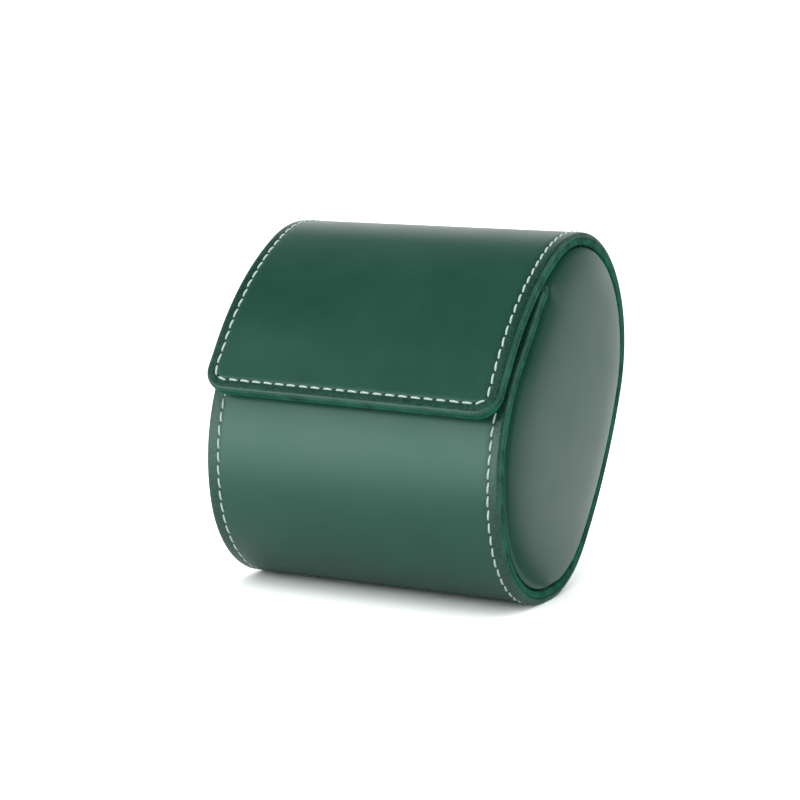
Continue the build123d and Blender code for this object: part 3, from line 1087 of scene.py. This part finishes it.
floor_out = add_node(floor_tree, "ShaderNodeOutputMaterial")
floor_place = add_node(floor_tree, "ShaderNodeTexCoord")
# What the leather mirrors of the floor is painted: a painted pool of light rising from 1.3 to 3.1 far out in
# front-left, and painted shade, down to a tenth, to the right of the right end
floor_way = vector_node(floor_tree, "DOT_PRODUCT", floor_place.outputs["Object"], (-0.456, -0.89, 0))
painted_floor_glow = range_node(floor_tree, floor_way.outputs["Value"], 0.09, 0.24, 1.3, 3.1, smooth=True)
from_cap = vector_node(floor_tree, "SUBTRACT", floor_place.outputs["Object"], (half_width, 0, 0))
floor_side = vector_node(floor_tree, "NORMALIZE", from_cap.outputs[0])
floor_x = add_node(floor_tree, "ShaderNodeSeparateXYZ")
floor_tree.links.new(floor_side.outputs[0], floor_x.inputs[0])
painted_floor_glow = math_node(floor_tree, "MULTIPLY", painted_floor_glow,
                 range_node(floor_tree, floor_x.outputs["X"], 0.70, 0.94, 1.0, 0.10, smooth=True))
by_camera = floor_path.outputs["Is Camera Ray"]
by_others = math_node(floor_tree, "SUBTRACT", 1.0, by_camera)
bright = math_node(floor_tree, "MAXIMUM", math_node(floor_tree, "MULTIPLY", by_camera, 1.9),
                   math_node(floor_tree, "MULTIPLY", painted_floor_glow, by_others))
white = add_node(floor_tree, "ShaderNodeCombineXYZ")
for socket in white.inputs:
    floor_tree.links.new(bright, socket)
floor_tree.links.new(mix_colours(floor_tree, floor_seen, (0.82, 0.82, 0.83, 1), white.outputs[0]),
                     floor_shader.inputs["Color"])
floor_tree.links.new(floor_shader.outputs[0], floor_out.inputs[0])
bm = bmesh.new()
bmesh.ops.create_grid(bm, x_segments=1, y_segments=1, size=3.0)
floor = finish_piece(bm, "floor", [floor_material])

# %% Studio world
world = bpy.data.worlds.new("studio")
bpy.context.scene.world = world
world.use_nodes = True
studio = world.node_tree
studio.nodes.clear()
sky_place = add_node(studio, "ShaderNodeTexCoord")
sky_way = add_node(studio, "ShaderNodeSeparateXYZ")
studio.links.new(sky_place.outputs["Generated"], sky_way.inputs[0])
ceiling = range_node(studio, sky_way.outputs["Z"], 0.46, 0.82, 1.0, 0.05, smooth=True)
low_part = math_node(studio, "MINIMUM", sky_way.outputs["Z"], 0.25)
side_way = math_node(studio, "MULTIPLY_ADD", low_part, 1.6, sky_way.outputs["X"])
right_side = range_node(studio, side_way, 0.31, 0.58, 1.42, 0.02, smooth=True)
lamp_way = vector_node(studio, "DOT_PRODUCT", sky_place.outputs["Generated"], (-0.453, -0.886, 0.10))
front_glow = range_node(studio, lamp_way.outputs["Value"], 0.86, 0.97, 0.0, 3.3, smooth=True)
mirrored = math_node(studio, "ADD", math_node(studio, "MULTIPLY", ceiling, right_side), front_glow)


def sky(strength, colour=(1, 1, 1, 1)):
    """A background of one colour, at a strength."""
    background = add_node(studio, "ShaderNodeBackground", inputs={"Color": colour})
    feed(studio, strength, background.inputs["Strength"])
    return background.outputs[0]


def mix_sky(factor, first, second):
    """Mix two backgrounds by a factor."""
    node = add_node(studio, "ShaderNodeMixShader")
    for socket, value in zip(node.inputs, (factor, first, second)):
        studio.links.new(value, socket)
    return node.outputs[0]


sky_path = add_node(studio, "ShaderNodeLightPath")
mirror_ray = math_node(studio, "MAXIMUM", sky_path.outputs["Is Glossy Ray"],
                       sky_path.outputs["Is Transmission Ray"])
lit = mix_sky(mirror_ray, sky(0.78, (0.97, 0.99, 1.0, 1)), sky(mirrored))
seen = mix_sky(sky_path.outputs["Is Camera Ray"], lit, sky(1.0))
studio.links.new(seen, add_node(studio, "ShaderNodeOutputWorld").inputs[0])


def softbox(name, place, aim, size, power):
    """A large soft lamp at a place, turned towards a point."""
    lamp = bpy.data.lights.new(name, "AREA")
    lamp.shape = "RECTANGLE"
    lamp.size, lamp.size_y = size
    lamp.energy = power
    holder = bpy.data.objects.new(name, lamp)
    holder.location = place
    holder.rotation_mode = "QUATERNION"
    holder.rotation_quaternion = (Vector(aim) - Vector(place)).to_track_quat("-Z", "Y")
    holder.visible_glossy = False
    bpy.context.scene.collection.objects.link(holder)
    return holder


softbox("lamp_top", (-0.05, -0.2, 0.9), (0, 0, 0.04), (0.9, 0.8), 2.2)
softbox("lamp_front", (-0.45, -0.9, 0.5), (0, 0, 0.04), (0.8, 0.6), 1.5)
bpy.context.scene.view_settings.view_transform = "Standard"
